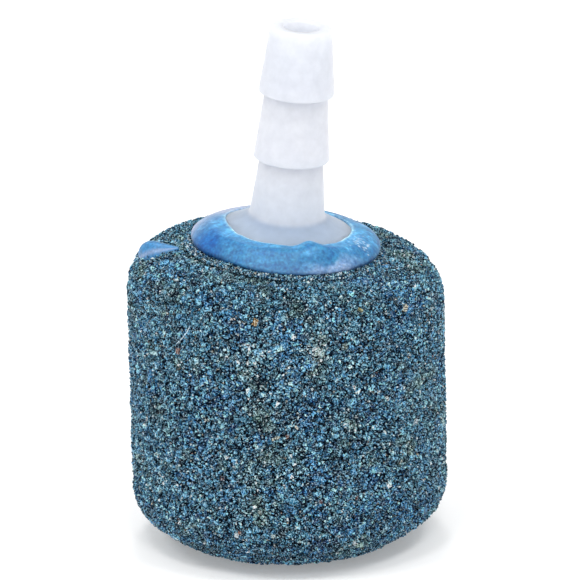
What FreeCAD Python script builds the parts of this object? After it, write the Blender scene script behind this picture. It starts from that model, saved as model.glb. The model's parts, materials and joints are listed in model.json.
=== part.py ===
"""Air stone: a pressed block of bonded mineral grains with a barbed hose nozzle glued into it.

Millimetres, +Z up, origin at the centre of the flat base. -Y is the front. The block's top
falls towards +X, and the nozzle, its socket and its glue share one axis that leans that way.
"""

import FreeCAD
import Part

import math
import os

from FreeCAD import Placement, Rotation, Vector

# Porous block
stone_radius = 10.0
stone_height = 19.0  # base to top, on the block's axis
top_slant = 4.0  # degrees that the top falls towards +X
top_round = 2.9  # radius rolled round the top edge
base_round_reach = 5.0  # the base edge is a quarter ellipse: this far in from the wall
base_round_rise = 3.8  # and this far up the wall
parting_height = 1.9  # where the dished punch met the die
parting_step = 0.3  # how much narrower the punch was than the die

# Hose nozzle, from the tip down
nozzle_lean = 5.3  # degrees from vertical, towards +X
airway_radius = 1.1
tip_radius = 1.93
neck_radius = 1.98  # where each taper below the first begins
crest_radius = 2.37  # where each taper ends
barb_count = 2
barb_length = 4.3
root_length = 3.75  # the last taper, from the lower barb to the flange
flange_radius = 4.3
flange_edge = 0.9  # thickness at the flange's rim
flange_rise = 0.95  # height of its shallow cone, from the rim to the root
spigot_radius = 2.2
spigot_length = 5.5
spigot_chamfer = 0.4
tip_edge_round = 0.18
crest_edge_round = 0.1
flange_edge_round = 0.2

# Socket in the block, which is also its air chamber
socket_clearance = 0.3  # radial gap round the spigot, filled with glue
socket_depth = 13.0  # from the top, along the nozzle's axis
socket_end_round = 1.2

# Glue
seat_film = 0.35  # between the block's top and the flange, on the axis
sleeve_depth = 3.0  # how far down the socket the glue runs
bead_reach = 1.7  # how far the bead's bulge stands out past the flange's rim
bead_belly = 0.6  # height at which it stands out furthest
bead_undercut = 0.5  # how much narrower its foot is than its bulge
bead_lap = 0.3  # how far it laps over the rim
bead_shoulder_reach = 1.0  # its shoulder is this far past the rim
bead_shoulder_drop = 0.1  # and this far below the lap
bead_footing = 1.0  # its outline starts this far under the top, and the block trims it

# Stray drop of glue on the top edge, at -X
drip_radius = 1.15  # of its round end
drip_tail_radius = 0.3
drip_sink = 0.45  # its centre lies this far under the block's surface
drip_turn = 34.0  # degrees round the top edge, from the top towards the wall
drip_length = 1.85  # between the centres of its two ends, seen from above

UP = Vector(0, 0, 1)
LEAN = Placement(Vector(0, 0, stone_height), Rotation(Vector(0, 1, 0), nozzle_lean))
SLANT = Placement(Vector(0, 0, stone_height), Rotation(Vector(0, 1, 0), top_slant))
BEYOND = 4 * (stone_radius + stone_height)  # longer than the whole block, for cutting tools


def ellipse_arc(centre_r, centre_z, reach, rise, start, end):
    """Exact arc of an ellipse in the XZ plane, from start to end in radians, as a rational curve."""
    middle = (start + end) / 2
    half = (end - start) / 2

    def at(angle, swell=1.0):
        r = centre_r + swell * reach * math.cos(angle)
        return Vector(r, 0, centre_z + swell * rise * math.sin(angle))

    curve = Part.BezierCurve()
    curve.setPoles([at(start), at(middle, 1 / math.cos(half)), at(end)])
    curve.setWeight(2, math.cos(half))
    return curve.toShape()


def line(start, end):
    """Straight edge between two (radius, height) pairs in the XZ plane."""
    return Part.makeLine(Vector(start[0], 0, start[1]), Vector(end[0], 0, end[1]))


def turned(edges):
    """Solid of revolution about +Z of a closed outline in the XZ plane."""
    return Part.Face(Part.Wire(edges)).revolve(Vector(), UP, 360)


def turned_points(points):
    """Solid of revolution about +Z of a polygon of (radius, height) pairs."""
    return turned([line(a, b) for a, b in zip(points, points[1:] + points[:1])])


def rim_edges(solid, radius, heights):
    """The round edges of a turned solid that have this radius and lie at one of these heights."""
    found = []
    for edge in solid.Edges:
        if isinstance(edge.Curve, Part.Circle) and abs(edge.Curve.Radius - radius) < 1e-6:
            if any(abs(edge.Curve.Center.z - height) < 1e-6 for height in heights):
                found.append(edge)
    return found


def above_top():
    """Everything above the block's slanted top."""
    box = Part.makeBox(BEYOND, BEYOND, BEYOND, Vector(-BEYOND / 2, -BEYOND / 2, 0))
    box.Placement = SLANT
    return box


def socket():
    """The hole that a core pin leaves in the block, along the nozzle's axis."""
    radius = spigot_radius + socket_clearance
    above = stone_radius  # runs clear of the slanted top
    hole = Part.makeCylinder(radius, socket_depth + above, Vector(0, 0, -socket_depth))
    hole = hole.makeFillet(socket_end_round, rim_edges(hole, radius, [-socket_depth]))
    hole.Placement = LEAN
    return hole


def stone_blank():
    """The pressed block before its socket: round base edge, parting ledge, wall and slanted top."""
    centre_r = stone_radius - base_round_reach
    ledge_angle = -math.asin((base_round_rise - parting_height) / base_round_rise)
    dish_reach = base_round_reach - parting_step
    overlong = stone_height + stone_radius
    dish_r = centre_r + dish_reach * math.cos(ledge_angle)
    ledge_r = centre_r + base_round_reach * math.cos(ledge_angle)
    block = turned(
        [
            line((0, 0), (centre_r, 0)),
            ellipse_arc(centre_r, base_round_rise, dish_reach, base_round_rise, -math.pi / 2, ledge_angle),
            line((dish_r, parting_height), (ledge_r, parting_height)),
            ellipse_arc(centre_r, base_round_rise, base_round_reach, base_round_rise, ledge_angle, 0),
            line((stone_radius, base_round_rise), (stone_radius, overlong)),
            line((stone_radius, overlong), (0, overlong)),
            line((0, overlong), (0, 0)),
        ]
    ).cut(above_top())
    top = max(block.Faces, key=lambda face: face.CenterOfMass.z)
    return block.makeFillet(top_round, top.OuterWire.Edges)


def nozzle_outside():
    """The nozzle without its airway, upright, with z = 0 on the block's top."""
    rim_low = seat_film
    rim_high = rim_low + flange_edge
    root = rim_high + flange_rise
    spigot_end = rim_low - spigot_length
    outline = [
        (0, spigot_end),
        (spigot_radius - spigot_chamfer, spigot_end),
        (spigot_radius, spigot_end + spigot_chamfer),
        (spigot_radius, rim_low),
        (flange_radius, rim_low),
        (flange_radius, rim_high),
        (crest_radius, root),
    ]
    height = root + root_length
    crests = []
    for _ in range(barb_count):
        outline += [(neck_radius, height), (crest_radius, height)]
        crests.append(height)
        height += barb_length
    outline += [(tip_radius, height), (0, height)]
    solid = turned_points(outline)
    solid = solid.makeFillet(crest_edge_round, rim_edges(solid, crest_radius, crests))
    solid = solid.makeFillet(tip_edge_round, rim_edges(solid, tip_radius, [height]))
    return solid.makeFillet(flange_edge_round, rim_edges(solid, flange_radius, [rim_low, rim_high]))


def hose_nozzle():
    """One moulding: barbed hose tail, flange and spigot, with the airway right through."""
    airway = Part.makeCylinder(airway_radius, 2 * BEYOND, Vector(0, 0, -BEYOND))
    nozzle = nozzle_outside().cut(airway)
    nozzle.Placement = LEAN
    return nozzle


def glue_seal(block, nozzle_shape):
    """Cured glue in one piece: bead over the flange's rim, film under it, sleeve in the socket."""
    bead_radius = flange_radius + bead_reach
    foot_radius = bead_radius - bead_undercut
    lap_radius = flange_radius - bead_lap
    cone = flange_rise / (flange_radius - crest_radius)
    lap_height = seat_film + flange_edge + bead_lap * cone
    shoulder = (flange_radius + bead_shoulder_reach, lap_height - bead_shoulder_drop)
    bulge = Part.Arc(
        Vector(foot_radius, 0, 0),
        Vector(bead_radius, 0, bead_belly),
        Vector(shoulder[0], 0, shoulder[1]),
    ).toShape()
    mound = turned(
        [
            line((0, -bead_footing), (foot_radius, -bead_footing)),
            line((foot_radius, -bead_footing), (foot_radius, 0)),
            bulge,
            line(shoulder, (lap_radius, lap_height)),
            line((lap_radius, lap_height), (0, lap_height)),
            line((0, lap_height), (0, -bead_footing)),
        ]
    )
    sleeve = Part.makeCylinder(
        spigot_radius + socket_clearance, sleeve_depth, Vector(0, 0, -sleeve_depth)
    )
    glue = mound.fuse(sleeve)
    glue.Placement = LEAN
    return glue.cut(block).cut(nozzle_shape)


def glue_drip(block, seal):
    """A stray drop that ran over the top edge at -X and set: round end outwards, tail inwards.

    It is the skin drawn tight over two spheres, which is both spheres and the cone that touches
    them, less the block and the seal.
    """
    turn = math.radians(drip_turn)
    slant = math.radians(top_slant)
    edge_r = stone_radius - top_round
    edge_z = stone_height + edge_r * math.tan(slant) - top_round / math.cos(slant)
    to_centre = top_round - drip_sink
    centre = Vector(-edge_r - to_centre * math.sin(turn), 0, edge_z + to_centre * math.cos(turn))
    tail_r = -centre.x - drip_length
    tail = Vector(-tail_r, 0, stone_height + tail_r * math.tan(slant))
    axis = tail - centre
    flare = math.asin((drip_radius - drip_tail_radius) / axis.Length)
    drop = Part.makeSphere(drip_radius, centre).fuse(Part.makeSphere(drip_tail_radius, tail))
    cone = Part.makeCone(
        drip_radius * math.cos(flare),
        drip_tail_radius * math.cos(flare),
        axis.Length - (drip_radius - drip_tail_radius) * math.sin(flare),
        centre + Vector(axis).normalize() * drip_radius * math.sin(flare),
        axis,
    )
    return drop.fuse(cone).cut(block).cut(seal)


def write(name, shape):
    solids = shape.Solids
    for solid in solids:
        assert solid.isValid() and solid.Volume > 0, name
    (solids[0] if len(solids) == 1 else Part.Compound(solids)).exportStep(f"parts/{name}.step")
    print(name, "solids", len(solids), "mm3", round(shape.Volume, 2))


def main():
    os.makedirs("parts", exist_ok=True)
    stone = stone_blank().cut(socket())
    nozzle_shape = nozzle_outside()
    nozzle_shape.Placement = LEAN
    write("porous_stone", stone)
    write("hose_nozzle", hose_nozzle())
    seal = glue_seal(stone, nozzle_shape)
    write("glue_seal", seal)
    write("glue_drip", glue_drip(stone, seal))


main()
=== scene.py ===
import json

import bmesh
import bpy
import numpy as np
from mathutils import Euler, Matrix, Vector


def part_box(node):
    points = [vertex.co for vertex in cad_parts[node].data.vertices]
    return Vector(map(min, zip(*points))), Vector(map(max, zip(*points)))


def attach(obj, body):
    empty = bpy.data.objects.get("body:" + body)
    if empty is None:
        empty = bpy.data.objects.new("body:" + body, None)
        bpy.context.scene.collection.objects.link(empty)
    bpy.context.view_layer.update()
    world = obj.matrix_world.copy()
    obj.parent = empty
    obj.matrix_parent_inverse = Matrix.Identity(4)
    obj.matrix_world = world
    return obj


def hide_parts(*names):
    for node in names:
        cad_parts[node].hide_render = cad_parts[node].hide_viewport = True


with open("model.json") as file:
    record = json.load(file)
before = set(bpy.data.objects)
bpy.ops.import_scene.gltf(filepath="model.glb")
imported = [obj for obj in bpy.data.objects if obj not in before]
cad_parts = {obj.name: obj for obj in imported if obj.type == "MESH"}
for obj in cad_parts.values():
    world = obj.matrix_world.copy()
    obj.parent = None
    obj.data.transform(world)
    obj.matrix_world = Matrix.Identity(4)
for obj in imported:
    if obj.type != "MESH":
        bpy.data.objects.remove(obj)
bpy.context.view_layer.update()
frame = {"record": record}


# ---- Stone core ---------------------------------------------------------------------------
# The mass of the pressed block behind its outermost grains, seen only as the dark gaps between
# them. Mineral grains and blue resin binder, rammed into a die round a core pin and then baked.
# Lengths here are millimetres, and grid_piece turns them into metres.
mm = 0.001
stone_low, stone_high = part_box("porous_stone")
stone_radius = (stone_high.x - stone_low.x) / 2 / mm
top_slant = np.radians(4.0)
top_round = 2.9
base_round_reach = 5.0
base_round_rise = 3.8
parting_height = 1.9
parting_step = 0.3
socket_radius = 2.5
socket_depth = 13.0
socket_end_round = 1.2
outline_stages = 10
top_stage = 6  # the slanted top begins here
mouth_stage = 7  # and the socket here
core_depth = 0.2  # the core lies this far under the tips of the grains
hollow_depth = 0.09  # half of how far the surface sinks where the charge packed loosely
core_columns = 320
core_rows = 220

# The nozzle, its socket and its glue share the air inlet's axis, which meets the top at the seat.
air_inlet = {mount["name"]: mount for mount in frame["record"]["mounts"]}["air_inlet"]
lean = np.array(air_inlet["axis"])
seat = np.array(air_inlet["pos_m"]) / mm
seat = seat - lean * seat[0] / lean[0]
across = np.array([lean[2], 0.0, -lean[0]])
sideways = np.array([0.0, 1.0, 0.0])
top_normal = np.array([np.sin(top_slant), 0.0, np.cos(top_slant)])


def about_nozzle(radius, turn, height):
    """Points at a radius and turn about the nozzle's leaning axis, this high along it from the seat."""
    out = across * np.cos(turn)[..., None] + sideways * np.sin(turn)[..., None]
    return seat + out * np.asarray(radius)[..., None] + lean * np.asarray(height)[..., None]


def block_surface(turn, stage):
    """Points on the block's surface for a turn about +Z and a stage along its outline.

    Each whole stage is one stretch, a straight line or a quarter of an ellipse or circle: flat base,
    punch's dish, ledge, die's round, wall, top round, slanted top, socket wall, its end round, its end.
    The top round's arc touches the wall and the slanted plane, so it starts at a height that
    depends on the turn.
    """
    turn, stage = np.broadcast_arrays(np.asarray(turn, float), np.asarray(stage, float))
    along = [np.clip(stage - number, 0, 1) for number in range(outline_stages)]
    centre_r = stone_radius - base_round_reach
    ledge_angle = -np.arcsin(1 - parting_height / base_round_rise)
    dish_reach = base_round_reach - parting_step
    dish = -np.pi / 2 + along[1] * (ledge_angle + np.pi / 2)
    die = ledge_angle * (1 - along[3])
    slope = -np.cos(turn) * np.tan(top_slant)
    arc_r = stone_radius - top_round
    arc_z = seat[2] + slope * arc_r - top_round * np.sqrt(1 + slope**2)
    arc = along[5] * (np.pi / 2 + np.arctan(slope))
    radius = along[0] * centre_r
    height = np.zeros_like(radius)
    radius = np.where(stage > 1, centre_r + dish_reach * np.cos(dish), radius)
    height = np.where(stage > 1, base_round_rise * (1 + np.sin(dish)), height)
    ledge_r = centre_r + (dish_reach + along[2] * parting_step) * np.cos(ledge_angle)
    radius = np.where(stage > 2, ledge_r, radius)
    radius = np.where(stage > 3, centre_r + base_round_reach * np.cos(die), radius)
    height = np.where(stage > 3, base_round_rise * (1 + np.sin(die)), height)
    height = np.where(stage > 4, base_round_rise + along[4] * (arc_z - base_round_rise), height)
    radius = np.where(stage > 5, arc_r + top_round * np.cos(arc), radius)
    height = np.where(stage > 5, arc_z + top_round * np.sin(arc), height)
    outside = np.stack([radius * np.cos(turn), radius * np.sin(turn), height], -1)
    rim = across * np.cos(turn)[..., None] + sideways * np.sin(turn)[..., None]
    mouth = -socket_radius * (rim @ top_normal) / (lean @ top_normal)
    outside += along[6][..., None] * (about_nozzle(socket_radius, turn, mouth) - outside)
    bend = along[8] * np.pi / 2
    flat_r = socket_radius - socket_end_round
    socket_r = (flat_r + socket_end_round * np.cos(bend)) * (1 - along[9])
    wall_end = socket_end_round - socket_depth
    socket_h = mouth + along[7] * (wall_end - mouth) - socket_end_round * np.sin(bend)
    inside = about_nozzle(np.where(stage > 8, socket_r, socket_radius), turn, socket_h)
    return np.where((stage > 7)[..., None], inside, outside)


def outward(surface, turn, stage, step=1e-3):
    """Unit normals of a surface of turn and stage: the cross product of its two central differences."""
    by_turn = surface(turn + step, stage) - surface(turn - step, stage)
    by_stage = surface(turn, stage + step) - surface(turn, stage - step)
    normal = np.cross(by_turn, by_stage)
    return normal / np.maximum(np.linalg.norm(normal, axis=-1, keepdims=True), 1e-12)


def mottle(points, pitch, seed):
    """Smooth random field from -1 to 1: random numbers on a cubic lattice, blended along each axis."""
    cell = points / pitch + 512
    low = np.floor(cell).astype(np.int64)
    share = cell - low
    share = share * share * (3 - 2 * share)
    numbers = np.random.default_rng(seed).uniform(-1, 1, 8192)
    field = np.zeros(points.shape[:-1])
    for corner in np.ndindex(2, 2, 2):
        key = (low + corner) @ np.array([73856093, 19349663, 83492791])
        weight = np.prod(np.where(corner, share, 1 - share), axis=-1)
        field += weight * numbers[key % len(numbers)]
    return field


def sunk_by(points):
    """How far the block's surface has sunk at each point: a random field, never under 0."""
    return hollow_depth * (1 + mottle(points, 0.7, 14))


def linear(*srgb):
    """A colour from 0 to 255 as seen on a screen, as the linear numbers that a shader takes."""
    value = np.array(srgb) / 255
    return np.where(value < 0.04045, value / 12.92, ((value + 0.055) / 1.055) ** 2.4)


def grid_piece(name, points, colours=None, crease=40):
    """A closed mesh from a grid of points in millimetres, whose seams and poles are drawn together.

    Its map runs over the grid's two parameters from 0 to 1, so that a texture baked through it
    follows the surface. Edges that turn by more than the crease, in degrees, stay sharp.
    """
    rows, columns = points.shape[:2]
    corner = np.arange(rows * columns).reshape(rows, columns)
    faces = np.stack([corner[:-1, :-1], corner[:-1, 1:], corner[1:, 1:], corner[1:, :-1]], -1)
    mesh = bpy.data.meshes.new(name)
    mesh.from_pydata(points.reshape(-1, 3) * mm, [], faces.reshape(-1, 4))
    across_map, along_map = np.meshgrid(np.linspace(0, 1, columns), np.linspace(0, 1, rows))
    places = np.stack([across_map, along_map], -1).reshape(-1, 2)[faces.reshape(-1)]
    mesh.uv_layers.new(name="OFBake").data.foreach_set("uv", places.ravel())
    if colours is not None:
        opaque = np.concatenate([colours, np.ones(colours.shape[:-1] + (1,))], -1)
        mesh.attributes.new("tint", "FLOAT_COLOR", "POINT").data.foreach_set("color", opaque.ravel())
    work = bmesh.new()
    work.from_mesh(mesh)
    bmesh.ops.remove_doubles(work, verts=work.verts, dist=1e-4 * mm)
    bmesh.ops.recalc_face_normals(work, faces=work.faces)
    work.to_mesh(mesh)
    work.free()
    mesh.shade_smooth()
    mesh.set_sharp_from_angle(angle=np.radians(crease))
    piece = bpy.data.objects.new(name, mesh)
    bpy.context.scene.collection.objects.link(piece)
    return piece


def new_material(name):
    """A material with its node tree, its link function and its Principled shader."""
    material = bpy.data.materials.new(name)
    material.use_nodes = True
    tree = material.node_tree
    return material, tree.nodes, tree.links.new, tree.nodes["Principled BSDF"]


def noise_node(nodes, link, scale, detail):
    """A random pattern fixed to the piece, with this many cells to the metre."""
    place = nodes.new("ShaderNodeTexCoord")
    noise = nodes.new("ShaderNodeTexNoise")
    noise.inputs["Scale"].default_value = scale
    noise.inputs["Detail"].default_value = detail
    link(place.outputs["Object"], noise.inputs["Vector"])
    return noise


def range_node(nodes, link, value, start, end, to_start=0.0, to_end=1.0):
    """A value's stretch from start to end, carried over to another stretch and held at its ends."""
    carried = nodes.new("ShaderNodeMapRange")
    carried.inputs["From Min"].default_value = start
    carried.inputs["From Max"].default_value = end
    carried.inputs["To Min"].default_value = to_start
    carried.inputs["To Max"].default_value = to_end
    link(value, carried.inputs["Value"])
    return carried.outputs["Result"]


def bump_node(nodes, link, height, strength, depth):
    """The normals of a surface that a pattern raises by up to this depth in millimetres."""
    bump = nodes.new("ShaderNodeBump")
    bump.inputs["Strength"].default_value = strength
    bump.inputs["Distance"].default_value = depth * mm
    link(height, bump.inputs["Height"])
    return bump.outputs["Normal"]


core_turn = np.linspace(0, 2 * np.pi, core_columns + 1)
core_stage = np.linspace(0, outline_stages, core_rows + 1)
core_grid = np.meshgrid(core_turn, core_stage)
core_points = block_surface(*core_grid)
core_out = outward(block_surface, *core_grid)
core_rough = 0.05 * mottle(core_points, 0.35, 1) + 0.03 * mottle(core_points, 0.17, 2)
core_sunk = core_depth + sunk_by(core_points) + core_rough
core_sunk = core_sunk * (core_grid[1] > 0) * (core_grid[1] < outline_stages)  # its two ends stay put
stone_core = grid_piece("stone_core", core_points - core_out * core_sunk[..., None])

# The core is coloured near black, darker than the binder on the grains: painted shade for the gaps
# between them.
binder, nodes, link, shader = new_material("binder_and_gap_shade")
binder_speck = noise_node(nodes, link, 6000, 3)
gap_shade_ramp = nodes.new("ShaderNodeValToRGB")
gap_shade_ramp.color_ramp.elements[0].position = 0.35
gap_shade_ramp.color_ramp.elements[0].color = (*linear(2, 9, 20), 1)
gap_shade_ramp.color_ramp.elements[1].position = 0.7
gap_shade_ramp.color_ramp.elements[1].color = (*linear(8, 28, 46), 1)
link(binder_speck.outputs["Fac"], gap_shade_ramp.inputs["Fac"])
link(gap_shade_ramp.outputs["Color"], shader.inputs["Base Color"])
link(bump_node(nodes, link, binder_speck.outputs["Fac"], 1.0, 0.05), shader.inputs["Normal"])
shader.inputs["Roughness"].default_value = 0.7
shader.inputs["Specular IOR Level"].default_value = 0.05
stone_core.data.materials.append(binder)
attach(stone_core, "root")
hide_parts("porous_stone")


# ---- Stone grains -------------------------------------------------------------------------
# The outermost layer of crushed mineral grains, angular, a fifth of a millimetre across, wetted
# blue by the binder. The die pressed them flush, so none stands out past the block's surface.
grain_count = 62000
grain_pieces = 24
grain_radius = 0.11
grain_spread = 0.4  # of the logarithm of their size
seal_foot = 5.0  # no grain shows inside this radius, under the glue
golden_angle = np.pi * (3 - np.sqrt(5))
luck = np.random.default_rng(11)


def spread_evenly(count):
    """Turn and stage of points spread evenly over the block's outside, from its base to the socket.

    Point i has i/count of the area below it, and is a golden angle further round than the last,
    which is how a sunflower spreads its seeds. Then each is moved at random by under half their pitch.
    """
    stage = np.linspace(0.02, mouth_stage, 1400)
    turn = np.linspace(0, 2 * np.pi, 24, endpoint=False)
    rings = block_surface(*np.meshgrid(turn, stage))
    around = np.linalg.norm(rings[..., :2], axis=-1).mean(1) * 2 * np.pi
    step = np.linalg.norm(np.diff(rings, axis=0), axis=-1).mean(1)
    below = np.concatenate([[0], np.cumsum(step * (around[1:] + around[:-1]) / 2)])
    pitch = np.sqrt(below[-1] / count)
    number = np.arange(count)
    area = (number + 0.5) / count * below[-1]
    ring = np.interp(area, below, around)
    area = area + luck.uniform(-0.45, 0.45, count) * pitch * ring
    spot = number * golden_angle + luck.uniform(-0.45, 0.45, count) * pitch / ring * 2 * np.pi
    return spot % (2 * np.pi), np.interp(area, below, stage)


def turned_at_random(count):
    """Rotation matrices spread evenly over all turns: each from four normal numbers as a quaternion."""
    numbers = luck.normal(size=(4, count))
    w, x, y, z = numbers / np.linalg.norm(numbers, axis=0)
    return np.stack(
        [
            np.stack([1 - 2 * (y * y + z * z), 2 * (x * y - w * z), 2 * (x * z + w * y)], -1),
            np.stack([2 * (x * y + w * z), 1 - 2 * (x * x + z * z), 2 * (y * z - w * x)], -1),
            np.stack([2 * (x * z - w * y), 2 * (y * z + w * x), 1 - 2 * (x * x + y * y)], -1),
        ],
        -2,
    )


def pressed_flush(points, place, out):
    """Corners that would stand proud of the block's surface are moved back onto it."""
    proud = np.einsum("nki,ni->nk", points - place[:, None], out)
    points = points - np.maximum(proud, 0)[..., None] * out[:, None]
    reach = np.linalg.norm(points[..., :2], axis=-1, keepdims=True)
    points[..., :2] *= np.minimum(1, stone_radius / np.maximum(reach, 1e-9))
    points[..., 2] = np.maximum(points[..., 2], 0)
    return points


# A grain is a cube whose eight corners are each pushed about, so its twelve faces all differ.
cube_corners = np.array(list(np.ndindex(2, 2, 2))) * 2.0 - 1
cube_faces = np.array(
    [
        [0, 1, 3], [0, 3, 2], [4, 6, 7], [4, 7, 5], [0, 4, 5], [0, 5, 1],
        [2, 3, 7], [2, 7, 6], [0, 2, 6], [0, 6, 4], [1, 5, 7], [1, 7, 3],
    ]
)  # fmt: skip
grain_turn, grain_stage = spread_evenly(grain_count)
grain_place = block_surface(grain_turn, grain_stage)
grain_out = outward(block_surface, grain_turn, grain_stage)
kept = (grain_stage < top_stage) | (np.linalg.norm(grain_place[:, :2], axis=1) > seal_foot)
grain_place, grain_out = grain_place[kept], grain_out[kept]
grain_total = len(grain_place)
grain_size = grain_radius * np.exp(luck.normal(0, grain_spread, grain_total))
stretch = np.exp(luck.normal(0, 0.22, (grain_total, 1, 3)))
corners = cube_corners / np.sqrt(3) * stretch * luck.uniform(0.7, 1.3, (grain_total, 8, 1))
corners = corners + luck.uniform(-0.18, 0.18, (grain_total, 8, 3))
corners = np.einsum("nij,nkj->nki", turned_at_random(grain_total), corners)
corners = corners * grain_size[:, None, None]
sunk = grain_size * luck.uniform(0.3, 1.9, grain_total) + sunk_by(grain_place)
corners = corners + (grain_place - grain_out * sunk[:, None])[:, None]
corners = pressed_flush(corners, grain_place, grain_out)

# The binder coats most grains blue, deeper in some places than others. In brown patches it hardly
# took, and pale dust lies on a few spots, the largest at the front. At the front's left and right edges
# the same pale step is a painted reflection, the haze where the block turns away.
coat_field = 0.9 * mottle(grain_place, 1.7, 5) + 1.0 * mottle(grain_place, 0.7, 6)
bare_field = 0.9 * mottle(grain_place, 2.0, 7) + 0.9 * mottle(grain_place, 0.7, 8)
dust_field = 0.7 * mottle(grain_place, 2.6, 9) + 0.7 * mottle(grain_place, 0.8, 10)
pit_shade_field = mottle(grain_place, 0.5, 12) + 0.4 * mottle(grain_place, 0.25, 13)
# Their colours are built as seen on a screen, from 0 to 255, where the lighter a coated grain is, the
# greyer it is: its red, green and blue rise by equal steps.
coated = [48.0, 110.0, 141.0]
deeper = [-30.0, -16.0, 8.0]
lighter = [20.0, 20.0, 14.0]
browner = [32.0, -4.0, -44.0]
paler_dust_and_sheen = [102.0, 88.0, 84.0]
darker_low = [-42.0, -38.0, -37.0]
darker_high = [-18.0, -15.0, -16.0]
painted_pit_shade = [-46.0, -56.0, -60.0]
bare_patches = [  # x, height, reach, share
    (-0.7, 9.5, 1.8, 0.5),
    (2.6, 18.6, 1.5, 0.4),
]
dust_and_edge_sheen_patches = [
    (-1.9, 15.4, 0.8, 1.1),
    (1.7, 15.6, 0.8, 1.1),
    (0.1, 14.7, 0.6, 0.9),
    (0.4, 12.8, 1.0, 0.6),
    (6.9, 16.6, 1.2, 0.5),
    # These three, at the left and right edges, are painted reflection: the pale haze where the block
    # turns away.
    (-9.8, 12.5, 1.9, 0.5),
    (-9.8, 7.5, 1.9, 0.5),
    (9.8, 14.0, 1.8, 0.4),
    (6.6, 18.7, 1.2, 0.45),
]
# Painted shade of pits: the grains round these places are darkened as if in hollows, which the surface
# does not have.
pit_shade_spots = [
    (4.3, 10.8, 0.5, 1.0),
    (-0.3, 5.6, 0.5, 1.0),
    (3.0, 8.6, 0.4, 1.0),
]
odd_coats_gaps_and_glints = (  # share of the small grains, and their colour
    # Pale grains: partly pale flecks, partly painted glints.
    (0.05, [200, 214, 216]),
    (0.02, [122, 104, 76]),
    (0.004, [112, 66, 48]),
    # Near-black grains: painted shade, standing for gaps between grains.
    (0.15, [2, 14, 30]),
)
grain_shade = np.broadcast_to(coated, (grain_total, 3)).copy()


def dye(share, step):
    """Step the grains' colours by an amount of red, green and blue, each by its own share."""
    grain_shade[:] += np.clip(share, 0, 1)[:, None] * step


def with_patches(share, patches):
    """A share raised round places on the front, most at the place and less with the distance from it:
    by the patch's own share times e to the power of minus the square of distance over reach."""
    for x, height, reach, most in patches:
        near = (grain_place[:, 0] - x) ** 2 + (grain_place[:, 2] - height) ** 2
        share = share + most * np.exp(-near / reach**2) * (grain_place[:, 1] < 0)
    return share


dye(np.clip(coat_field, 0, 1) * 1.3 + luck.uniform(-0.5, 0.7, grain_total), deeper)
dye(np.clip(-coat_field, 0, 1) * 0.9 + luck.uniform(-0.6, 0.6, grain_total), lighter)
bare_share = bare_field * 1.3 - 0.35 + 0.3 * np.clip((grain_place[:, 2] - 17) / 2.2, 0, 1)
bare_share = with_patches(bare_share, bare_patches)
dye(bare_share + luck.uniform(-0.4, 0.4, grain_total), browner)
# Pale dust, and painted reflection at the front's left and right edges.
dust_and_edge_sheen_share = with_patches(dust_field - 0.7, dust_and_edge_sheen_patches)
dye(dust_and_edge_sheen_share + luck.uniform(-0.2, 0.4, grain_total), paler_dust_and_sheen)
dye(1 - grain_place[:, 2] / 5.5, darker_low)
dye((grain_place[:, 2] - 16.5) / 1.5, darker_high)
# Painted shade in pits.
dye(with_patches((pit_shade_field - 0.45) * 3, pit_shade_spots), painted_pit_shade)
grain_shade += np.clip(luck.normal(0, 64, (grain_total, 1)), -130, 80)
small = grain_size < grain_radius
for share, colour in odd_coats_gaps_and_glints:
    grain_shade[small & (luck.random(grain_total) < share)] = colour
# Each face is then stepped lighter or darker at random: painted light and shade, as of facets turned
# different ways.
face_colour_and_painted_light = grain_shade[:, None] + luck.normal(0, 60, (grain_total, len(cube_faces), 1))
face_tint = linear(*np.clip(face_colour_and_painted_light, 2, 228).transpose(2, 0, 1)).transpose(1, 2, 0)

crushed, nodes, link, shader = new_material("crushed_mineral")
crushed_tint = nodes.new("ShaderNodeAttribute")
crushed_tint.attribute_name = "tint"
# A fine pattern takes spots of the grains to near black, painted shade of cracks and gaps, and others
# towards pale, painted glints.
crushed_cloud = noise_node(nodes, link, 10500, 2).outputs["Fac"]
crushed_painted_shade = nodes.new("ShaderNodeMix")
crushed_painted_shade.data_type = "RGBA"
crushed_painted_shade.inputs["A"].default_value = (*linear(1, 10, 24), 1)
link(range_node(nodes, link, crushed_cloud, 0.4, 0.5), crushed_painted_shade.inputs["Factor"])
link(crushed_tint.outputs["Color"], crushed_painted_shade.inputs["B"])
crushed_glint = range_node(nodes, link, crushed_cloud, 0.53, 0.64, 0.0, 0.7)
crushed_painted_glint = nodes.new("ShaderNodeMix")
crushed_painted_glint.data_type = "RGBA"
crushed_painted_glint.inputs["B"].default_value = (*linear(172, 204, 218), 1)
link(crushed_glint, crushed_painted_glint.inputs["Factor"])
link(crushed_painted_shade.outputs["Result"], crushed_painted_glint.inputs["A"])
link(crushed_painted_glint.outputs["Result"], shader.inputs["Base Color"])
shader.inputs["Roughness"].default_value = 0.25
shader.inputs["Specular IOR Level"].default_value = 0.05
shader.inputs["Sheen Weight"].default_value = 0.55
shader.inputs["Sheen Tint"].default_value = (0.3, 0.7, 1.0, 1)
shader.inputs["Sheen Roughness"].default_value = 0.4


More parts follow.
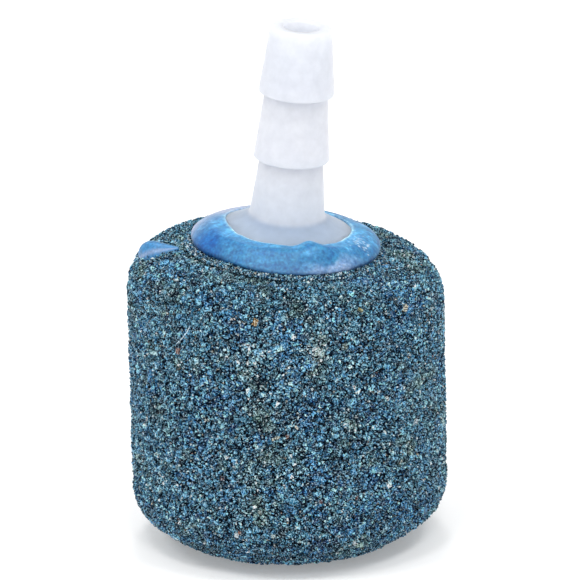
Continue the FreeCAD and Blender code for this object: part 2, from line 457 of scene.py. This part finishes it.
def grain_piece(name, corners, tint):
    """One mesh of many grains. Each side of a grain is two faces, which share a cell of its map."""
    count = len(corners)
    faces = (cube_faces[None] + 8 * np.arange(count)[:, None, None]).reshape(-1, 3)
    mesh = bpy.data.meshes.new(name)
    mesh.from_pydata(corners.reshape(-1, 3) * mm, [], faces)
    rows = int(np.ceil(np.sqrt(6 * count)))
    cell = np.stack(np.divmod(np.arange(6 * count), rows), -1)
    square = np.array([[0, 0], [1, 0], [1, 1], [0, 0], [1, 1], [0, 1]]) * 0.9 + 0.05
    places = (cell[:, None] + square) / rows
    mesh.uv_layers.new(name="OFBake").data.foreach_set("uv", places.ravel())
    tint = np.concatenate([tint, np.ones((count, len(cube_faces), 1))], -1)
    mesh.attributes.new("tint", "FLOAT_COLOR", "FACE").data.foreach_set("color", tint.ravel())
    piece = bpy.data.objects.new(name, mesh)
    bpy.context.scene.collection.objects.link(piece)
    mesh.materials.append(crushed)
    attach(piece, "root")
    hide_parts("porous_stone")


for number, chosen in enumerate(np.array_split(np.arange(grain_total), grain_pieces)):
    grain_piece(f"stone_grains_{number + 1}", corners[chosen], face_tint[chosen])


# ---- Odd grains ---------------------------------------------------------------------------
# Single grains that differ from the rest: larger flakes of bare mineral, pale, ochre or rusty, and
# one pale fibre. They came with the charge and were pressed into the surface like the others.
odd_grains = [  # x, height, width, length, lean in degrees, colour
    (7.45, 17.0, 0.3, 0.56, 52, (206, 197, 172)),
    (4.62, 17.6, 0.24, 0.4, -50, (140, 132, 84)),
    (-6.8, 18.9, 0.1, 0.42, 75, (182, 187, 182)),
    (-1.93, 17.4, 0.34, 0.5, 20, (172, 138, 84)),
    (-3.3, 17.5, 0.14, 0.36, 80, (161, 145, 137)),
    (-6.8, 14.85, 0.28, 0.46, 15, (140, 98, 80)),
    (6.2, 11.6, 0.18, 0.34, -30, (188, 188, 183)),
    (8.0, 9.4, 0.3, 0.36, 40, (174, 179, 182)),
    (3.6, 15.6, 0.36, 0.4, 0, (99, 107, 97)),
    (-0.1, 10.0, 0.22, 0.26, 0, (119, 83, 65)),
    (0.5, 10.6, 0.16, 0.3, -40, (181, 175, 159)),
    (-0.8, 9.9, 0.18, 0.62, 70, (163, 159, 139)),
    (-4.2, 7.0, 0.26, 0.3, 0, (97, 62, 57)),
    (1.9, 5.6, 0.22, 0.26, 0, (99, 59, 55)),
    (-3.4, 3.3, 0.3, 0.34, 10, (182, 188, 190)),
    (-3.2, 3.5, 0.22, 0.26, 0, (119, 82, 63)),
    (-1.9, 5.0, 0.28, 0.3, 0, (135, 144, 138)),
    (-1.1, 3.4, 0.28, 0.3, 0, (143, 153, 148)),
]
odd_thickness = 0.2
odd_sunk = 0.03
fibre = [(-6.9, 15.25), (-6.55, 15.7), (-6.15, 16.3), (-5.95, 16.75)]  # x, height
fibre_width = 0.07
fibre_sunk = 0.02


def stage_at(turn, height):
    """The outline stage at which the block's outside has this height, for each turn."""
    stages = np.linspace(1, top_stage + 0.4, 600)
    heights = block_surface(np.asarray(turn)[:, None], stages)[..., 2]
    return np.array([np.interp(*pair, stages) for pair in zip(height, heights)])


def on_front(x, height):
    """Place on the block's front, and the directions out of it, across it and up it."""
    turn = -np.arccos(np.clip(x / stone_radius, -1, 1))
    for _ in range(4):  # the top's round edge is narrower than the wall, so the turn is corrected
        stage = stage_at(turn, height)
        radius = np.linalg.norm(block_surface(turn, stage)[:, :2], axis=1)
        turn = -np.arccos(np.clip(x / radius, -1, 1))
    out = outward(block_surface, turn, stage)
    side = np.stack([-np.sin(turn), np.cos(turn), np.zeros_like(turn)], -1)
    return block_surface(turn, stage), out, side, np.cross(out, side)


odd_x, odd_height, odd_width, odd_length, odd_lean = np.array([row[:5] for row in odd_grains]).T
odd_place, odd_out, odd_side, odd_up = on_front(odd_x, odd_height)
odd_lean = np.radians(odd_lean)[:, None]
odd_along = odd_up * np.cos(odd_lean) + odd_side * np.sin(odd_lean)
odd_broad = odd_side * np.cos(odd_lean) - odd_up * np.sin(odd_lean)
odd_total = len(odd_grains)
corner_luck = luck.uniform(0.75, 1.0, (odd_total, 8, 3))
odd_corners = cube_corners * corner_luck / 2
odd_corners = (
    odd_broad[:, None] * (odd_corners[..., :1] * odd_width[:, None, None])
    + odd_along[:, None] * (odd_corners[..., 1:2] * odd_length[:, None, None])
    + odd_out[:, None] * (odd_corners[..., 2:] * odd_thickness - odd_sunk)
)
odd_corners = pressed_flush(odd_corners + odd_place[:, None], odd_place, odd_out)
odd_tint = np.array([linear(*row[5]) for row in odd_grains])[:, None]
odd_tint = odd_tint * np.exp(luck.normal(0, 0.15, (odd_total, len(cube_faces), 1)))
grain_piece("odd_grains", odd_corners, np.clip(odd_tint, 0.002, 0.95))

# The fibre is a thin tube that tapers to a point at both ends and lies on the grains.
fibre_share = np.linspace(0, 1, 25)
fibre_bends = np.linspace(0, 1, len(fibre))
fibre_x, fibre_height = [np.interp(fibre_share, fibre_bends, row) for row in np.array(fibre).T]
fibre_place, fibre_out, _, _ = on_front(fibre_x, fibre_height)
fibre_side = np.cross(fibre_out, np.gradient(fibre_place, axis=0))
fibre_side /= np.linalg.norm(fibre_side, axis=1, keepdims=True)
fibre_turn = np.linspace(0, 2 * np.pi, 9)[:, None]
fibre_thick = fibre_width / 2 * (1 - (2 * fibre_share - 1) ** 6)
fibre_ring = fibre_out[:, None] * np.cos(fibre_turn) + fibre_side[:, None] * np.sin(fibre_turn)
fibre_points = (fibre_place - fibre_sunk * fibre_out)[:, None] + fibre_ring * fibre_thick[:, None, None]
fibre_colour = np.broadcast_to(linear(196, 214, 228), fibre_points.shape)
fibre_piece = grid_piece("fibre", fibre_points, fibre_colour)
fibre_piece.data.materials.append(crushed)
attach(fibre_piece, "root")
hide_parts("porous_stone")


# ---- Hose nozzle --------------------------------------------------------------------------
# Barbed hose tail, flange and spigot, moulded in one from natural polyolefin, which is milky.
# The spigot is pushed into the stone's socket up to the flange, and glued there.
airway_radius = 1.1
tip_radius = 1.93
neck_radius = 1.98
crest_radius = 2.37
barb_count = 2
barb_length = 4.3
root_length = 3.75
flange_radius = 4.3
flange_low = 0.35
flange_edge = 0.9
flange_rise = 0.95
spigot_radius = 2.2
spigot_end = -5.15
spigot_chamfer = 0.4
nozzle_columns = 256


def rounded(points, rounds, steps=6):
    """A closed outline with its corners rounded: each gives way to a quadratic curve, which leaves one
    side this far before the corner and joins the next side as far after it."""
    here = np.array(points, float)
    reach = np.array(rounds)[:, None, None]
    before = np.roll(here, 1, 0) - here
    after = np.roll(here, -1, 0) - here
    start = (here + before / np.linalg.norm(before, axis=1)[:, None] * reach[:, 0])[:, None]
    end = (here + after / np.linalg.norm(after, axis=1)[:, None] * reach[:, 0])[:, None]
    t = np.linspace(0, 1, steps)[None, :, None]
    curve = (1 - t) ** 2 * start + 2 * t * (1 - t) * here[:, None] + t**2 * end
    return curve.reshape(-1, 2)


flange_high = flange_low + flange_edge
flange_top = flange_high + flange_rise
nozzle_outline = [  # radius, height along the axis, how far the corner's round reaches
    (airway_radius, spigot_end, 0.1),
    (spigot_radius - spigot_chamfer, spigot_end, 0.08),
    (spigot_radius, spigot_end + spigot_chamfer, 0.1),
    (spigot_radius, flange_low, 0.1),
    (flange_radius, flange_low, 0.15),
    (flange_radius, flange_high, 0.2),
    (crest_radius, flange_top, 0.3),
]
barb_height = flange_top + root_length
for _ in range(barb_count):
    nozzle_outline += [(neck_radius, barb_height, 0.06), (crest_radius, barb_height, 0.1)]
    barb_height += barb_length
nozzle_outline += [(tip_radius, barb_height, 0.2), (airway_radius, barb_height, 0.12)]
nozzle_outline = np.array(nozzle_outline)
nozzle_profile = rounded(nozzle_outline[:, :2], nozzle_outline[:, 2])
nozzle_profile = np.concatenate([nozzle_profile, nozzle_profile[:1]])
nozzle_turn = np.linspace(0, 2 * np.pi, nozzle_columns + 1)
nozzle_turns, nozzle_radii = np.meshgrid(nozzle_turn, nozzle_profile[:, 0])
nozzle_heights = np.meshgrid(nozzle_turn, nozzle_profile[:, 1])[1]
hose_nozzle = grid_piece("barbed_nozzle", about_nozzle(nozzle_radii, nozzle_turns, nozzle_heights))

milky, nodes, link, shader = new_material("milky_polyolefin")
milky_place = nodes.new("ShaderNodeTexCoord")
milky_height = nodes.new("ShaderNodeVectorMath")
milky_height.operation = "DOT_PRODUCT"
milky_height.inputs[1].default_value = tuple(lean)
link(milky_place.outputs["Object"], milky_height.inputs[0])
milky_low = (seat[2] * lean[2] + flange_low) * mm
milky_high = (seat[2] * lean[2] + barb_height) * mm
milky_share = range_node(nodes, link, milky_height.outputs["Value"], milky_low, milky_high)
milky_ramp = nodes.new("ShaderNodeValToRGB")
milky_ramp.color_ramp.interpolation = "EASE"
milky_stops = milky_ramp.color_ramp.elements
milky_stops[0].position = 0.12
milky_stops[0].color = (*linear(162, 177, 198), 1)
milky_stops[1].position = 0.45
milky_stops[1].color = (*linear(218, 221, 235), 1)
milky_stops.new(0.145).color = (*linear(203, 209, 222), 1)
milky_stops.new(0.9).color = (*linear(205, 209, 220), 1)
link(milky_share, milky_ramp.inputs["Fac"])
milky_flow = noise_node(nodes, link, 1400, 4).outputs["Fac"]
milky_mix = nodes.new("ShaderNodeVectorMath")
milky_mix.operation = "SCALE"
link(milky_ramp.outputs["Color"], milky_mix.inputs[0])
link(range_node(nodes, link, milky_flow, 0.3, 0.7, 0.94, 1.05), milky_mix.inputs["Scale"])
link(milky_mix.outputs["Vector"], shader.inputs["Base Color"])
link(bump_node(nodes, link, milky_flow, 0.25, 0.02), shader.inputs["Normal"])
shader.inputs["Roughness"].default_value = 0.38
shader.inputs["Subsurface Weight"].default_value = 1
shader.inputs["Subsurface Radius"].default_value = (1.0, 1.0, 1.0)
shader.inputs["Subsurface Scale"].default_value = 4.0 * mm
hose_nozzle.data.materials.append(milky)
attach(hose_nozzle, "root")
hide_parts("hose_nozzle")


# ---- Glue seal ----------------------------------------------------------------------------
# Blue resin glue, poured round the flange and left to set as it flowed: a bulging bead that laps
# over the flange's rim and grips the grains at its foot. Unseen, it fills the seat and the socket's
# mouth, so it is one ring with the nozzle through it.
bead_radius = 5.9
bead_belly = 0.6
bead_foot = 5.55
bead_lap = 3.97
bead_bite = 0.3  # how far it reaches into the stone's top, and into the flange's rim
sleeve_depth = 3.0
bead_columns = 512
bead_rows = 72


def swell(turn, centre, width):
    """A smooth hump round the turn: 1 at its centre in degrees, falling off over its width."""
    apart = (np.degrees(turn) - centre + 180) % 360 - 180
    return np.exp(-((apart / width) ** 2))


def waver(turn, count, seed):
    """A closed random line about 0: cosines of whole waves round the turn, the fastest weakest."""
    draw = np.random.default_rng(seed)
    waves = np.arange(1, count + 1)
    size = draw.normal(0, 1, count) / waves**0.7
    phase = draw.uniform(0, 2 * np.pi, count)
    return (size * np.cos(np.multiply.outer(turn, waves) + phase)).sum(-1)


bead_turn = np.linspace(0, 2 * np.pi, bead_columns + 1)
cone_slope = flange_rise / (flange_radius - crest_radius)
behind = 0.5 - 0.5 * np.cos(bead_turn + np.pi / 2)  # 1 at the back of the bead, 0 at its front
lap_in = bead_lap - 0.36 * swell(bead_turn, 290, 9) - 0.3 * swell(bead_turn, 190, 30)
lap_in = lap_in + 0.38 * swell(bead_turn, 45, 38) + 0.34 * swell(bead_turn, 130, 32)
lap_in = lap_in + 0.02 * waver(bead_turn, 40, 21)
lap_high = flange_high + np.maximum(flange_radius - lap_in, 0) * cone_slope
bulge = bead_radius + 0.05 * waver(bead_turn, 9, 22) + 0.012 * waver(bead_turn, 120, 26)
foot = bead_foot - 0.2 * swell(bead_turn, 235, 22) + 0.05 * waver(bead_turn, 40, 23)
foot = foot + 0.06 * waver(bead_turn, 150, 27) + 0.25 * swell(bead_turn, 285, 3)
belly = bead_belly + 0.04 * waver(bead_turn, 7, 24) - 0.2 * swell(bead_turn, 270, 50)
thick = 0.08 + 0.03 * waver(bead_turn, 6, 25) + 0.12 * swell(bead_turn, 292, 12)
crown = lap_high + thick - 0.32 * behind
stone_top = -np.cos(bead_turn) * (np.tan(top_slant) - lean[0] / lean[2])
bead_guides = [  # the skin that shows, from the lap over the flange to the foot: radius, height
    (lap_in, lap_high - 0.03),
    (lap_in + 0.12, lap_high + 0.08 + thick * 0.3 - 0.06 * behind),
    (lap_in + 0.6, crown + 0.06 + 0.06 * behind),
    ((lap_in + bulge) / 2 + 0.15, crown - 0.02),
    (bulge - 0.3, belly + 0.4 - 0.08 * behind),
    (bulge, belly),
    (bulge - 0.1, stone_top + belly * 0.4),
    (foot, stone_top - 0.12),
]


def curve_through(guides, rows):
    """A smooth curve through guide points, each an array round the turn: the cubic whose tangent at a
    guide is half the step from the guide before it to the guide after it."""
    path = np.array([np.broadcast_arrays(*guide) for guide in guides]).transpose(0, 2, 1)
    path = np.concatenate([2 * path[:1] - path[1:2], path, 2 * path[-1:] - path[-2:-1]])
    at = np.linspace(0, len(guides) - 1, rows)
    low = np.minimum(at.astype(int), len(guides) - 2)
    t = (at - low)[:, None, None]
    a, b, c, d = (path[low + shift] for shift in range(4))
    square = 2 * a - 5 * b + 4 * c - d
    cube = 3 * b - a - 3 * c + d
    return 0.5 * (2 * b + (c - a) * t + square * t**2 + cube * t**3)


bead_skin = curve_through(bead_guides, bead_rows)
bead_hidden = [  # and from the foot down the socket, and back up inside the flange
    (foot, stone_top - bead_bite),
    (socket_radius, stone_top - bead_bite),
    (socket_radius, -sleeve_depth),
    (spigot_radius - 0.02, -sleeve_depth),
    (spigot_radius - 0.02, flange_low - 0.02),
    (flange_radius - bead_bite, flange_low + 0.02),
    (flange_radius - bead_bite, flange_high),
    (lap_in, lap_high - 0.03),
]
bead_back = np.array([np.broadcast_arrays(*guide, bead_turn)[:2] for guide in bead_hidden])
bead_back = bead_back.transpose(0, 2, 1)
bead_section = np.concatenate([bead_skin, bead_back])
bead_all_turns = np.broadcast_to(bead_turn, bead_section.shape[:2])
bead_points = about_nozzle(bead_section[..., 0], bead_all_turns, bead_section[..., 1])

resin_blue = linear(32, 110, 160)
resin_deep = linear(0, 92, 166)
resin_cloud = linear(162, 174, 202)
resin_edge = linear(182, 226, 242)
resin_light = linear(76, 164, 216)
resin_lilac = linear(148, 172, 208)
resin_shadow = linear(4, 34, 84)
resin_bubble = linear(216, 228, 238)
bubble_count = 46


def resin_colour(points, section_share, turn):
    """The glue's colour: blue, stepped towards each of the others by a share of its own. It is deep
    where it pooled, cloudy where it was stirred and pale at its thin edge; at the front its underside
    carries a painted shadow."""
    stirred = 0.5 + 0.5 * mottle(points, 0.9, 31)
    veins = mottle(points * [0.7, 1, 1.6], 0.5, 35) + 0.6 * mottle(points * [0.7, 1, 1.6], 0.22, 36)
    colour = np.broadcast_to(resin_blue, points.shape).copy()
    inner = np.clip(1 - section_share / 0.65, 0, 1)
    pooled = swell(turn, 208, 13) * np.clip(1.7 - np.abs(section_share - 0.7) * 4, 0, 1)
    cloudy = swell(turn, 172, 15) * np.clip((section_share - 0.3) * 3, 0, 1)
    cloudy = np.clip(cloudy + 1.2 * swell(turn, 132, 26), 0, 1)
    ragged = section_share + 0.3 * stirred + 0.08 * veins
    lilac = swell(turn, 301, 16) * np.clip((ragged - 0.66) * 6, 0, 1)
    thin = np.exp(-((np.maximum(section_share - 0.12, 0) / 0.05) ** 2))
    thin = thin * (0.55 - 0.45 * np.sin(turn))
    # Painted shadow under the bead's bulge, at the front only.
    painted_under_shadow = np.clip((section_share + 0.05 * veins - 0.64) * 6, 0, 1) * (0.5 - 0.5 * np.sin(turn))
    bubble_luck = np.random.default_rng(34)
    bubble = np.zeros_like(section_share)
    for _ in range(bubble_count):
        spot = np.radians(bubble_luck.normal(337, 7)), bubble_luck.normal(0.42, 0.11)
        size = bubble_luck.uniform(0.025, 0.055)
        near = ((turn - spot[0]) * 5.2 / size) ** 2 + ((section_share - spot[1]) * 3.4 / size) ** 2
        bubble = np.maximum(bubble, np.exp(-near))
    for share, towards in (
        (inner * (0.3 + stirred) + 0.7 * (veins > 0.15) * (veins - 0.15), resin_light),
        (0.5 * (veins < -0.3) * (-0.3 - veins) + pooled * 0.95, resin_deep),
        (cloudy * (0.7 + 0.4 * stirred), resin_cloud),
        (lilac * (0.6 + 0.5 * stirred), resin_lilac),
        (thin * 1.1, resin_edge),
        (painted_under_shadow * 0.8, resin_shadow),
        (bubble * 0.9, resin_bubble),
    ):
        colour += np.clip(share, 0, 1)[..., None] * (towards - colour)
    grit = 1 + (0.3 * mottle(points, 0.12, 32) + 0.22 * mottle(points, 0.25, 33)) * (1 - 0.7 * cloudy)
    return np.clip(colour * grit[..., None] ** [1.8, 1.1, 0.6], 0, 0.95)


bead_share = np.clip(np.arange(len(bead_section)) / (bead_rows - 1), 0, 1)[:, None]
bead_share = np.broadcast_to(bead_share, bead_section.shape[:2])
seal = grid_piece("glue_bead", bead_points, resin_colour(bead_points, bead_share, bead_all_turns))

resin, nodes, link, shader = new_material("set_resin")
resin_tint = nodes.new("ShaderNodeAttribute")
resin_tint.attribute_name = "tint"
resin_grit = noise_node(nodes, link, 6500, 2).outputs["Fac"]
resin_mix = nodes.new("ShaderNodeVectorMath")
resin_mix.operation = "SCALE"
link(resin_tint.outputs["Color"], resin_mix.inputs[0])
link(range_node(nodes, link, resin_grit, 0.35, 0.65, 0.85, 1.2), resin_mix.inputs["Scale"])
link(resin_mix.outputs["Vector"], shader.inputs["Base Color"])
link(bump_node(nodes, link, resin_grit, 0.35, 0.02), shader.inputs["Normal"])
shader.inputs["Roughness"].default_value = 0.45
shader.inputs["Subsurface Weight"].default_value = 0.4
shader.inputs["Subsurface Radius"].default_value = (0.5, 0.8, 1.0)
shader.inputs["Subsurface Scale"].default_value = 0.2 * mm
shader.inputs["Sheen Weight"].default_value = 0.7
shader.inputs["Sheen Tint"].default_value = (0.75, 0.85, 1.0, 1)
shader.inputs["Sheen Roughness"].default_value = 0.15
seal.data.materials.append(resin)
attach(seal, "root")
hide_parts("glue_seal")


# ---- Caught grains ------------------------------------------------------------------------
# Loose grains from the stone's top that the glue picked up at its foot as it ran, and held when it
# set. They make its lower edge ragged.
caught_count = 3600
caught_pieces = 3
caught_radius = 0.085
caught_pale_share = 0.12
caught_turn = luck.uniform(0, 2 * np.pi, caught_count)
caught_foot = np.interp(caught_turn, bead_turn, bulge)
caught_floor = np.interp(caught_turn, bead_turn, stone_top)
caught_out = luck.uniform(-0.25, 0.4, caught_count)
caught_up = luck.uniform(-0.1, 1, caught_count) * (0.26 - 0.6 * np.maximum(caught_out, 0))
caught_place = about_nozzle(caught_foot + caught_out, caught_turn, caught_floor + caught_up)
caught_shape = cube_corners / np.sqrt(3) * luck.uniform(0.6, 1.3, (caught_count, 8, 1))
caught_shape = np.einsum("nij,nkj->nki", turned_at_random(caught_count), caught_shape)
caught_size = caught_radius * np.exp(luck.normal(0, 0.25, caught_count))
caught_shape = caught_shape * caught_size[:, None, None] + caught_place[:, None]
caught_tint = face_tint[luck.integers(0, grain_total, caught_count)]
caught_tint[luck.random(caught_count) < caught_pale_share] = linear(214, 224, 230)
for number, chosen in enumerate(np.array_split(np.arange(caught_count), caught_pieces)):
    grain_piece(f"caught_grains_{number + 1}", caught_shape[chosen], caught_tint[chosen])


# ---- Glue drip ----------------------------------------------------------------------------
# A stray drop of the same glue that fell on the stone's edge, ran a little and set: a fat round
# end over the edge, and a tail that points back to the bead.
drip_radius = 1.15  # of its round end
drip_tail_radius = 0.14
drip_head = np.array([-8.16, -0.12, 18.68])
drip_tail = np.array([-6.72, -0.95, 19.42])
drip_highlight_turn = 232  # degrees round it, where a painted highlight runs along its upper front
drip_highlight_width = 10
drip_columns = 96
drip_rows = 64

# It is drawn tight round a ball at each end, so its outline is two arcs and the line touching both.
drip_axis = drip_tail - drip_head
drip_length = np.linalg.norm(drip_axis)
drip_axis = drip_axis / drip_length
drip_side = np.cross([0.0, 1.0, 0.0], drip_axis)
drip_flare = np.arcsin((drip_radius - drip_tail_radius) / drip_length)
drip_angle = np.linspace(0, np.pi, drip_rows + 1)
drip_ball = np.where(drip_angle < np.pi / 2 + drip_flare, drip_radius, drip_tail_radius)
drip_along = np.where(drip_ball == drip_radius, 0, drip_length) - drip_ball * np.cos(drip_angle)
drip_out = drip_ball * np.sin(drip_angle)
drip_turn, drip_out = np.meshgrid(np.linspace(0, 2 * np.pi, drip_columns + 1), drip_out)
drip_points = drip_head + drip_axis * drip_along[:, None, None]
drip_points = drip_points + drip_side * (np.cos(drip_turn) * drip_out)[..., None]
drip_points = drip_points + sideways * (np.sin(drip_turn) * drip_out)[..., None]
drip_lumps = 0.03 * mottle(drip_points, 0.8, 42) * np.sin(drip_turn)
drip_points = drip_points + drip_lumps[..., None] * sideways
drip_colour = linear(48, 122, 174) * (1 + 0.25 * mottle(drip_points, 0.15, 41)[..., None])
# Painted highlight, in the glue's cloudy colour.
drip_painted_highlight = swell(drip_turn, drip_highlight_turn, drip_highlight_width)[..., None]
drip_colour = drip_colour + 0.5 * drip_painted_highlight * (resin_cloud - drip_colour)
drip = grid_piece("glue_drop", drip_points, np.clip(drip_colour, 0, 0.95))
drip.data.materials.append(resin)
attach(drip, "root")
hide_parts("glue_drip")


# ---- Studio -------------------------------------------------------------------------------
# A white table that runs on past every view, five soft boxes above it, of which one is at the back,
# and a camera with a long lens. Lengths here are metres, and angles degrees.
floor_half = 3.0
room_light = 0.72
boxes = ((-150, 50), (-115, 62), (-80, 48), (-40, 58), (90, 60))  # turn, rise
box_reach = 0.6
box_size = 0.12
box_watts = 0.6
lens = 541.8
camera_reach = 0.55
camera_rise = np.radians(19.5)
camera_roll = np.radians(-1.26)
orbit_centre = Vector((0, 0, 9.5 * mm))
aim = Vector((0.28, 0, 16.2)) * mm

floor_corners = [(x * floor_half, y * floor_half, 0) for x, y in ((-1, -1), (1, -1), (1, 1), (-1, 1))]
floor_mesh = bpy.data.meshes.new("floor")
floor_mesh.from_pydata(floor_corners, [], [(0, 1, 2, 3)])
floor = bpy.data.objects.new("floor", floor_mesh)
bpy.context.scene.collection.objects.link(floor)
table, nodes, link, shader = new_material("white_table")
shader.inputs["Base Color"].default_value = (0.8, 0.8, 0.8, 1)
shader.inputs["Roughness"].default_value = 0.8
shader.inputs["Emission Color"].default_value = (1, 1, 1, 1)
shader.inputs["Emission Strength"].default_value = 0.25
floor_mesh.materials.append(table)

world = bpy.data.worlds.new("white_room")
world.use_nodes = True
world.node_tree.nodes["Background"].inputs["Color"].default_value = (1, 1, 1, 1)
world.node_tree.nodes["Background"].inputs["Strength"].default_value = room_light
bpy.context.scene.world = world


for number, (around, rise) in enumerate(boxes):
    name = f"soft_box_{number + 1}"
    around, rise = np.radians(around), np.radians(rise)
    place = (np.cos(around) * np.cos(rise), np.sin(around) * np.cos(rise), np.sin(rise))
    light = bpy.data.lights.new(name, "AREA")
    light.size = box_size
    light.energy = box_watts
    lamp = bpy.data.objects.new(name, light)
    lamp.location = box_reach * Vector(place)
    middle = Vector((0, 0, seat[2] / 2 * mm))
    lamp.rotation_euler = (middle - lamp.location).to_track_quat("-Z", "Y").to_euler()
    bpy.context.scene.collection.objects.link(lamp)

camera_data = bpy.data.cameras.new("camera")
camera_data.lens = lens
camera_data.sensor_width = 36
camera = bpy.data.objects.new("camera", camera_data)
camera.location = orbit_centre + camera_reach * Vector((0, -np.cos(camera_rise), np.sin(camera_rise)))
look = (aim - camera.location).to_track_quat("-Z", "Y").to_matrix()
roll = Euler((0, 0, camera_roll)).to_matrix()
camera.rotation_euler = (look @ roll).to_euler()
bpy.context.scene.collection.objects.link(camera)
bpy.context.scene.camera = camera
bpy.context.scene.view_settings.view_transform = "Standard"
